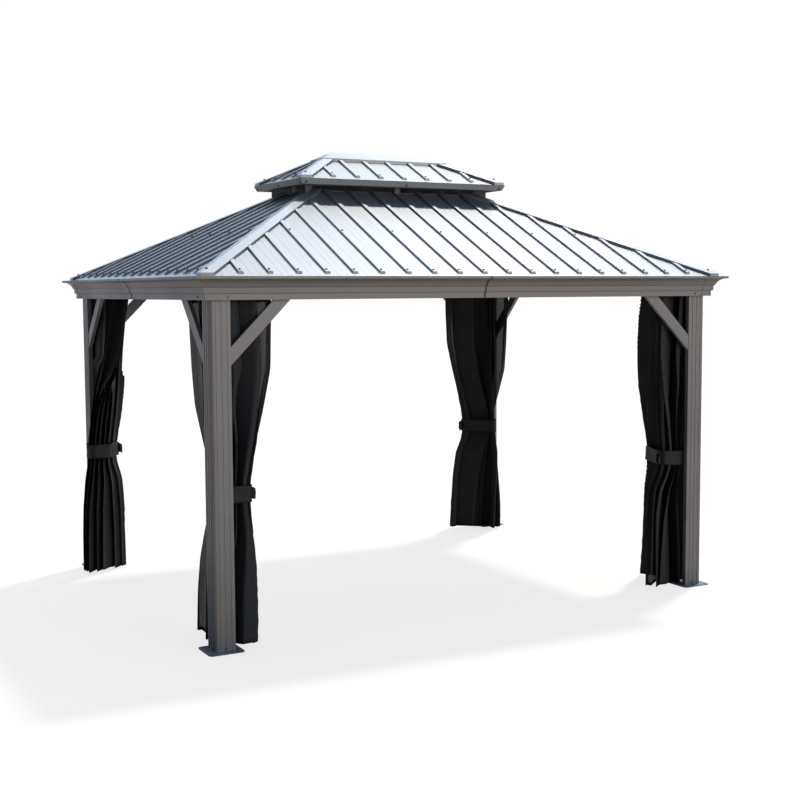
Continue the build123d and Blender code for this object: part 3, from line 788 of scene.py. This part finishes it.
def gathered_line(share, height, arms, past):
    """The line that the folds follow at a height, from one arm's end round the corner to the other's."""
    rises = (profile_straight, profile_rise[1]) if past else profile_rise
    first, second = (reach_at(height, *shape) for shape in zip(arms, rises, profile_fall))
    straight_first = first - rail_offset - rail_turn
    straight_second = second - rail_offset - rail_turn
    quarter = rail_turn * math.pi / 2
    run = share * (straight_first + quarter + straight_second)
    angle = np.clip((run - straight_first) / rail_turn, 0, math.pi / 2)
    on_first = np.clip(straight_first - run, 0, None)
    on_second = np.clip(run - straight_first - quarter, 0, None)
    first_edge = edge_pull * smooth(edge_starts, edge_ends, share)
    second_edge = edge_pull * smooth(edge_starts, edge_ends, 1 - share)
    rail_line = np.stack([
        rail_offset + rail_turn * (1 - np.sin(angle)) + on_first - second_edge,
        rail_offset + rail_turn * (1 - np.cos(angle)) + on_second - first_edge,
    ])
    bundle = np.stack([
        (1 - share) ** 2 * first + (1 - (1 - share) ** 2) * bundle_offset,
        share ** 2 * second + (1 - share ** 2) * bundle_offset,
    ])
    if past:
        last = reach_at(height, past, profile_rise[1], profile_fall[1])
        bundle = np.stack([
            first + (last - first) * share,
            leg_end_clearance + past_offset + past_slant * share,
        ])
    gather = eased(profile_past if past else profile_gather, height)
    return (1 - gather) * rail_line + gather * bundle


def fold_line(height, arms, past, phases, depth):
    """One level of a curtain, folded back and forth about its line by the given depth."""
    share = np.linspace(0, 1, fold_samples)
    around = 2 * math.pi * share
    line = gathered_line(share, height, arms, past)
    tangent = np.gradient(line, axis=1)
    tangent /= np.linalg.norm(tangent, axis=0)
    inward = np.stack([tangent[1], -tangent[0]])
    edge = eased(profile_edge, height)
    calm = calm_least + (1 - calm_least) * smooth(0, edge, share) * smooth(0, edge, 1 - share)
    drift = sum(
        size * np.sin(waves * around + phase)
        for (size, waves), phase in zip(drifts, phases[0:2])
    )
    sway = sway_size * np.sin(2 * math.pi * sway_rise * height + sway_waves * around + phases[2])
    turn = pleats * (around + 2 * math.pi * (drift + sway))
    uneven = 1 + sum(
        size * np.sin(waves * around + phase + slant * height)
        for (size, waves, slant), phase in zip(unevenness, phases[3:5])
    )
    wave = np.sin(turn)
    spacing = np.linalg.norm(np.diff(line, axis=1), axis=0).sum() / pleats
    loop = loop_share * spacing * np.sin(2 * turn)
    lay = math.radians(eased(profile_lay, height)) * (past_lay_share if past else 1)
    lean = inward * math.cos(lay) + tangent * math.sin(lay)
    folded = line + depth * calm * uneven * wave * lean + tangent * (loop * calm)
    nearest = post_clearance + clearance_ripple * np.sin(turn / 3)
    if past:
        gathered = smooth(past_starts, past_ends, eased(profile_past, height))
        folded[1] = np.maximum(folded[1], nearest + (leg_end_clearance - post_clearance) * gathered)
        below_brace = smooth(brace_foot, brace_foot - brace_passing, height)
        folded[0] = np.maximum(folded[0], nearest + (past_limit - nearest) * below_brace)
        beside_leg = folded[1] < leg_end_clearance
        folded[0] = np.where(beside_leg, np.maximum(folded[0], nearest), folded[0])
    else:
        folded = np.maximum(folded, nearest)
    return folded, wave * calm


def hang(corner, arms, seed):
    """Hangs one curtain in its corner, folding the full width of the cloth at every level."""
    phases = np.random.default_rng(seed).uniform(0, 2 * math.pi, 8)
    east, north = corners[corner]
    low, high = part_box(f"post_{corner}")
    outer = (low.x if east < 0 else high.x, low.y if north < 0 else high.y)
    points = []
    level_waves = []
    for row in range(rows + 1):
        height = net_top + (net_foot - net_top) * row / rows
        shallow, deep = 0.0, deepest_fold
        for _ in range(fold_tries):
            depth = (shallow + deep) / 2
            folded, wave = fold_line(height, arms, drawn_past_post.get(corner), phases, depth)
            length = np.linalg.norm(np.diff(folded, axis=1), axis=0).sum()
            shallow, deep = (depth, deep) if length < net_width else (shallow, depth)
        walked = np.concatenate([[0], np.cumsum(np.linalg.norm(np.diff(folded, axis=1), axis=0))])
        even = np.linspace(0, walked[-1], columns + 1)
        inward_x, inward_y = np.interp(even, walked, folded[0]), np.interp(even, walked, folded[1])
        wave = np.interp(even, walked, wave)
        sag = smooth(sag_height, 0.0, net_top - height) * sag_size * (1 + wave) / 2
        around = 2 * math.pi * np.linspace(0, 1, columns + 1)
        near_foot = smooth(ripple_height, 0.0, height - net_foot)
        level = height - sag + near_foot * ripple_size * np.sin(ripple_waves * around + phases[5])
        points.append(np.stack([outer[0] - east * inward_x, outer[1] - north * inward_y, level], axis=1))
        level_waves.append(wave)
    grid = np.array(points)
    wide = columns + 1
    faces = []
    for row in range(rows):
        for column in range(columns):
            first = row * wide + column
            faces.append((first, first + wide, first + wide + 1, first + 1))
    mesh = bpy.data.meshes.new(f"netting_{corner}")
    mesh.from_pydata(grid.reshape(-1, 3).tolist(), [], faces)
    mapped = mesh.uv_layers.new(name="cloth")
    across_cloth = np.tile(np.linspace(0, net_width, wide), rows + 1)
    up_cloth = np.repeat(np.linspace(net_top - net_foot, 0, rows + 1), wide)
    order = np.empty(len(mesh.loops), dtype=np.int32)
    mesh.loops.foreach_get("vertex_index", order)
    spots = np.stack([across_cloth[order], up_cloth[order]], axis=1)
    mapped.data.foreach_set("uv", spots.astype(np.float32).ravel())
    mesh.materials.append(netting)
    mesh.shade_smooth()
    piece = bpy.data.objects.new(f"netting_{corner}", mesh)
    bpy.context.scene.collection.objects.link(piece)
    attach(piece, "root")
    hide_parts(f"curtain_{corner}")
    return piece, grid, np.array(level_waves)


curtains = {}
hook_places, hook_aims = [], []
hook_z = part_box("curtain_rails")[0].z - hook_drop
for seed, (corner, arms) in enumerate(curtain_reach.items(), start=11):
    piece, grid, waves = hang(corner, arms, seed)
    curtains[corner] = (piece, grid)
    east, north = corners[corner]
    low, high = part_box(f"post_{corner}")
    rail_x = (low.x if east < 0 else high.x) - east * rail_middle
    rail_y = (low.y if north < 0 else high.y) - north * rail_middle
    top, wave = grid[0][:, :2], waves[0]
    carried = []
    for column in range(1, columns):
        is_crest = wave[column] <= wave[column - 1] and wave[column] < wave[column + 1]
        if is_crest and wave[column] < crest_depth:
            x, y = top[column]
            carried.append((x, y, abs(x - rail_x) > abs(y - rail_y)))
    carried += [(*top[1], True), (*top[columns - 1], False)]
    for x, y, on_x_rail in carried:
        hook_places.append((x, rail_y, hook_z) if on_x_rail else (rail_x, y, hook_z))
        hook_aims.append((0, -north, 0) if on_x_rail else (-east, 0, 0))

hooks = grow(
    "curtain_hooks", curtain_hooks, hook_places, {"aim": hook_aims},
    {
        "Hook Radius": 0.0075,
        "Wire Radius": 0.0016,
        "Runner Size": (0.010, 0.010, 0.006),
        "Finish": hook_plastic,
    },
)


# Ties: straps of woven black cloth wound once round each curtain and fastened on themselves
# at the side away from the post, where their two short free ends stand out.
tie_middle = 0.865
tie_height = 0.094
tie_rings = 8
tie_steps = 96
hold_margin = 0.02
ring_passes = 3
strap_thickness = 0.0024
strap_ease, strap_edge = 0.0070, 0.0014
puckers = ((0.0014, 3, 2.2), (0.0008, 7, -3))
dips = ((0.0045, 1), (0.0022, 4))
free_ends = ((1, 0.034, 0.020), (-1, 0.027, 0.006))
end_steps = 7
end_rows = 5
end_root, end_gap = 0.004, 0.003
end_curl, end_bend = 0.013, 2.4
end_flare, flare_across, flare_along = 0.004, 9, 5
end_height, end_taper = 0.78, 0.22

tie_cloth = bpy.data.materials.new("tie_cloth")
tie_cloth.use_nodes = True
tie_tree = tie_cloth.node_tree
tie_shader = tie_tree.nodes["Principled BSDF"]
tie_shader.inputs["Roughness"].default_value = 0.6
tie_shader.inputs["Specular IOR Level"].default_value = 0.3
strap = put(tie_tree, "ShaderNodeTexCoord").outputs["Object"]
twill = put(
    tie_tree, "ShaderNodeTexWave",
    {"Vector": strap, "Scale": 240.0, "Distortion": 0.6},
    bands_direction="Z",
)
tie_patch = put(tie_tree, "ShaderNodeTexNoise", {"Vector": strap, "Scale": 22.0, "Detail": 3.0})
tie_tones = put(
    tie_tree, "ShaderNodeMix",
    {0: tie_patch.outputs["Fac"], 6: (0.0060, 0.0064, 0.0070, 1), 7: (0.0125, 0.0132, 0.0145, 1)},
    data_type="RGBA",
)
tie_tree.links.new(tie_tones.outputs[2], tie_shader.inputs["Base Color"])
tie_relief = put(
    tie_tree, "ShaderNodeBump",
    {"Strength": 0.3, "Distance": 0.0006, "Height": twill.outputs["Fac"]},
)
tie_tree.links.new(tie_relief.outputs["Normal"], tie_shader.inputs["Normal"])


def outline(points):
    """The tight outline of a set of points in plan, as a closed ring."""
    ordered = sorted(map(tuple, points))

    def chain(run):
        kept = []
        for p in run:
            while len(kept) > 1:
                (ax, ay), (bx, by) = kept[-2], kept[-1]
                if (bx - ax) * (p[1] - ay) - (by - ay) * (p[0] - ax) > 0:
                    break
                kept.pop()
            kept.append(p)
        return kept[:-1]

    return np.array(chain(ordered) + chain(ordered[::-1]))


for seed, (corner, (piece, grid)) in enumerate(curtains.items(), start=31):
    phases = np.random.default_rng(seed).uniform(0, 2 * math.pi, 4)
    held = grid.reshape(-1, 3)
    held = held[np.abs(held[:, 2] - tie_middle) < tie_height / 2 + hold_margin][:, :2]
    ring = outline(held)
    closed = np.vstack([ring, ring[:1]])
    walked = np.concatenate([[0], np.cumsum(np.linalg.norm(np.diff(closed, axis=0), axis=1))])
    even = np.linspace(0, walked[-1], tie_steps, endpoint=False)
    ring = np.stack([np.interp(even, walked, closed[:, 0]), np.interp(even, walked, closed[:, 1])], axis=1)
    for _ in range(ring_passes):
        ring = (ring + (np.roll(ring, 1, axis=0) + np.roll(ring, -1, axis=0)) / 2) / 2
    ahead = np.roll(ring, -1, axis=0) - np.roll(ring, 1, axis=0)
    out = np.stack([ahead[:, 1], -ahead[:, 0]], axis=1)
    out /= np.linalg.norm(out, axis=1)[:, None]
    around = np.linspace(0, 2 * math.pi, tie_steps, endpoint=False)
    vertices, faces = [], []
    for ring_row in range(tie_rings + 1):
        share = ring_row / tie_rings
        swell = strap_ease + strap_edge * (2 * share - 1) ** 2 + sum(
            size * np.sin(waves * around + phase + slant * share)
            for (size, waves, slant), phase in zip(puckers, phases[0:2])
        )
        level = tie_middle + tie_height * (share - 0.5) + sum(
            size * np.sin(waves * around + phase)
            for (size, waves), phase in zip(dips, phases[2:4])
        )
        for (x, y), (ox, oy), proud, z in zip(ring, out, swell, level):
            vertices.append((x + ox * proud, y + oy * proud, z))
    for ring_row in range(tie_rings):
        for column in range(tie_steps):
            first = ring_row * tie_steps + column
            second = ring_row * tie_steps + (column + 1) % tie_steps
            faces.append((first, second, second + tie_steps, first + tie_steps))
    lap = int(np.argmax(-corners[corner][0] * ring[:, 0]))
    (base_x, base_y), (out_x, out_y) = ring[lap], out[lap]
    for spread, length, droop in free_ends:
        start = len(vertices)
        for step in np.linspace(0, 1, end_steps + 1):
            proud = end_root + length * step
            curl = spread * (end_gap + end_curl * math.sin(end_bend * step))
            tall = tie_height * (end_height - end_taper * step)
            for share in np.linspace(-0.5, 0.5, end_rows + 1):
                flare = end_flare * math.sin(flare_across * share + flare_along * step + phases[0])
                aside = curl + flare * step
                vertices.append((
                    base_x + out_x * proud - out_y * aside,
                    base_y + out_y * proud + out_x * aside,
                    tie_middle - droop * step ** 2 + tall * share,
                ))
        for step in range(end_steps):
            for row in range(end_rows):
                first = start + step * (end_rows + 1) + row
                faces.append((first, first + end_rows + 1, first + end_rows + 2, first + 1))
    mesh = bpy.data.meshes.new(f"tie_{corner}")
    mesh.from_pydata(vertices, [], faces)
    mesh.materials.append(tie_cloth)
    mesh.shade_smooth()
    tie = bpy.data.objects.new(f"tie_{corner}", mesh)
    bpy.context.scene.collection.objects.link(tie)
    wall = tie.modifiers.new("strap", "SOLIDIFY")
    wall.thickness = strap_thickness
    wall.offset = 1.0
    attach(tie, "root")
    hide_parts("curtain_ties")


# Studio: a tan floor that the camera sees paler, a white backdrop, bluish light that is
# stronger from the back right, one sun high on that side and a broad warm one low in front.
# The camera stands where the photograph was taken from.
scene = bpy.context.scene
scene.view_settings.view_transform = "Standard"

floor_mesh = bpy.data.meshes.new("floor")
floor_half = 60.0
floor_mesh.from_pydata(
    [(east * floor_half, north * floor_half, 0) for east, north in corners.values()],
    [], [(0, 1, 2, 3)],
)
floor = bpy.data.objects.new("floor", floor_mesh)
scene.collection.objects.link(floor)
floor_paint = bpy.data.materials.new("floor_paint")
floor_paint.use_nodes = True
floor_tree = floor_paint.node_tree
floor_shader = floor_tree.nodes["Principled BSDF"]
floor_shader.inputs["Base Color"].default_value = (0.36, 0.31, 0.27, 1)
floor_shader.inputs["Roughness"].default_value = 0.9
floor_glow = put(floor_tree, "ShaderNodeEmission", {"Color": (1, 1, 1, 1), "Strength": 1.7})
floor_seen = put(floor_tree, "ShaderNodeLightPath").outputs["Is Camera Ray"]
floor_share = put(floor_tree, "ShaderNodeMath", {0: floor_seen, 1: 0.45}, operation="MULTIPLY")
floor_look = put(
    floor_tree, "ShaderNodeMixShader",
    {0: floor_share.outputs[0], 1: floor_shader.outputs[0], 2: floor_glow.outputs[0]},
)
floor_tree.links.new(floor_look.outputs[0], floor_tree.nodes["Material Output"].inputs["Surface"])
floor_mesh.materials.append(floor_paint)

world = bpy.data.worlds.new("studio")
scene.world = world
world.use_nodes = True
sky = world.node_tree
backdrop = sky.nodes["Background"]
backdrop.inputs["Color"].default_value = (1, 1, 1, 1)
backdrop.inputs["Strength"].default_value = 1.0
way = put(sky, "ShaderNodeTexCoord").outputs["Generated"]
lean = put(sky, "ShaderNodeVectorMath", {0: way, 1: (0.45, 0.70, 0.35)}, operation="DOT_PRODUCT")
brightness = put(
    sky, "ShaderNodeMapRange",
    {
        "Value": lean.outputs["Value"],
        "From Min": -0.25,
        "From Max": 0.85,
        "To Min": 0.16,
        "To Max": 1.30,
    },
    interpolation_type="SMOOTHSTEP",
)
fill = put(
    sky, "ShaderNodeBackground",
    {"Color": (0.64, 0.81, 1.0, 1), "Strength": brightness.outputs["Result"]},
)
seen = put(sky, "ShaderNodeLightPath").outputs["Is Camera Ray"]
both = put(sky, "ShaderNodeMixShader", {0: seen, 1: fill.outputs[0], 2: backdrop.outputs[0]})
sky.links.new(both.outputs[0], sky.nodes["World Output"].inputs["Surface"])

for name, energy, spread, colour, place in (
    ("key", 3.4, 6, (1.0, 0.97, 0.93), (0.43, 0.26, 0.864)),
    ("front_fill", 1.75, 40, (1.0, 0.95, 0.91), (0.42, -0.90, 0.12)),
):
    lamp = bpy.data.lights.new(name, "SUN")
    lamp.energy = energy
    lamp.angle = math.radians(spread)
    lamp.color = colour
    stand = bpy.data.objects.new(name, lamp)
    scene.collection.objects.link(stand)
    stand.rotation_mode = "QUATERNION"
    stand.rotation_quaternion = Vector(place).to_track_quat("Z", "Y")

yaw, pitch, roll = (math.radians(angle) for angle in (28.1446, 4.8682, -0.31238))
forward = Vector((math.sin(yaw) * math.cos(pitch), math.cos(yaw) * math.cos(pitch), -math.sin(pitch)))
level = Vector((math.cos(yaw), -math.sin(yaw), 0))
upward = level.cross(forward)
right = level * math.cos(roll) + upward * math.sin(roll)
top = upward * math.cos(roll) - level * math.sin(roll)
lens = bpy.data.cameras.new("camera")
lens.sensor_width = 36.0
lens.lens = 58.0566
lens.clip_end = 200
camera = bpy.data.objects.new("camera", lens)
scene.collection.objects.link(camera)
turned = Matrix((right, top, -forward)).transposed().to_4x4()
turned.translation = (-4.08717, -7.91996, 1.98223)
camera.matrix_world = turned
scene.camera = camera
